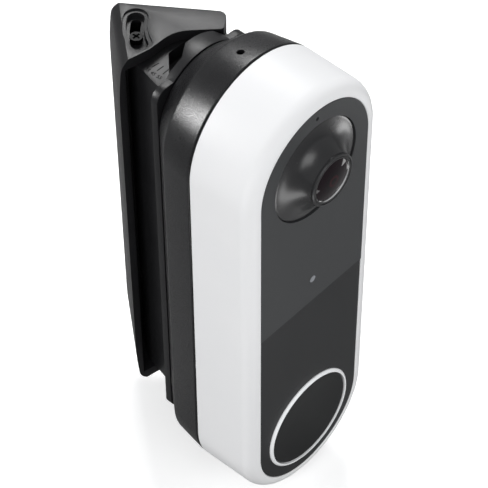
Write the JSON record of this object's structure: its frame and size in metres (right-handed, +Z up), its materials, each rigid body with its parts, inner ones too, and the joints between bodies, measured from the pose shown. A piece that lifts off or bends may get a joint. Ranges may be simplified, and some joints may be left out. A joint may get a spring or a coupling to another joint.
{
  "type": "video doorbell",
  "caption": "Battery video doorbell with a camera and call button, held on a wedge-shaped wall bracket that swivels the head sideways and locks with screws.",
  "frame": {"origin": "middle of the wall bracket's back face, on the wall", "axes": "+X to the right along the wall, +Y into the wall, +Z up; the head faces right and forward at rest"},
  "size_m": [0.0682, 0.0565, 0.1438],
  "materials": {
    "bracket_plastic": "fine grained moulded plastic, satin black",
    "band_plastic": "sparkle grained moulded plastic, black",
    "white_plastic": "satin white",
    "panel_plastic": "smooth charcoal, satin",
    "gloss_black": "polished black",
    "ring_black": "turned and anodised black",
    "lens_glass": "coated lens glass with a dark red cast",
    "light_guide": "silvery frosted light guide",
    "button_plastic": "satin charcoal",
    "rubber_seal": "matt silicone rubber",
    "frame_plastic": "grey glass filled plastic",
    "circuit_board": "green solder mask",
    "chip_black": "moulded chip epoxy",
    "bright_steel": "plated steel",
    "black_steel": "black oxide steel",
    "contact_gold": "gold flashed contacts",
    "battery_wrap": "grey shrink wrap"
  },
  "bodies": {
    "wall_bracket": {"wall_bracket": "bracket_plastic"},
    "swivel_head": {"swivel_arm": "bracket_plastic", "pivot_pin_upper": "bright_steel", "pivot_pin_lower": "bright_steel", "mounting_plate": "bracket_plastic", "plate_screws": "black_steel", "rear_housing": "band_plastic", "front_shell": "white_plastic", "housing_seal": "rubber_seal", "front_panel": "panel_plastic", "lens_hood": "gloss_black", "lens_ring": "ring_black", "lens_glass": "lens_glass", "lens_barrel": "ring_black", "lens_elements": "lens_glass", "camera_board": "circuit_board", "image_sensor": "chip_black", "microphone": "bright_steel", "microphone_seal": "rubber_seal", "status_light_pipe": "light_guide", "status_lamp": "light_guide", "light_ring": "light_guide", "button_seal": "rubber_seal", "button_switch": "chip_black", "inner_frame": "frame_plastic", "main_board": "circuit_board", "board_chips": "chip_black", "shield_can": "bright_steel", "antenna": "circuit_board", "battery_pack": "battery_wrap", "battery_contacts": "contact_gold", "speaker": "chip_black", "speaker_seal": "rubber_seal", "case_screws": "bright_steel", "board_screws": "bright_steel", "latch_spring": "bright_steel"},
    "call_button": {"button_cap": "button_plastic"},
    "release_latch": {"release_latch": "frame_plastic"},
    "upper_lock_screw": {"lock_screw_upper": "black_steel"},
    "lower_lock_screw": {"lock_screw_lower": "black_steel"}
  },
  "joints": [
    {"name": "head_swivel", "type": "hinge", "parent": "wall_bracket", "child": "swivel_head", "pos_m": [0.011, -0.0046, 0], "axis": [0, 0, 1], "range_deg": [-20, 0]},
    {"name": "call_button_press", "type": "slide", "parent": "swivel_head", "child": "call_button", "axis": [-0.8192, 0.5736, 0], "range_m": [0, 0.0005], "stiffness_N_per_m": 4000},
    {"name": "latch_press", "type": "slide", "parent": "swivel_head", "child": "release_latch", "axis": [0, 0, -1], "range_m": [0, 0.0015], "stiffness_N_per_m": 1200, "deforming": ["latch_spring"]},
    {"name": "upper_lock_turn", "type": "hinge", "parent": "swivel_head", "child": "upper_lock_screw", "pos_m": [-0.00647, -0.01099, 0], "axis": [0, 0, 1], "continuous": true},
    {"name": "lower_lock_turn", "type": "hinge", "parent": "swivel_head", "child": "lower_lock_screw", "pos_m": [-0.00647, -0.01099, 0], "axis": [0, 0, 1], "continuous": true}
  ]
}
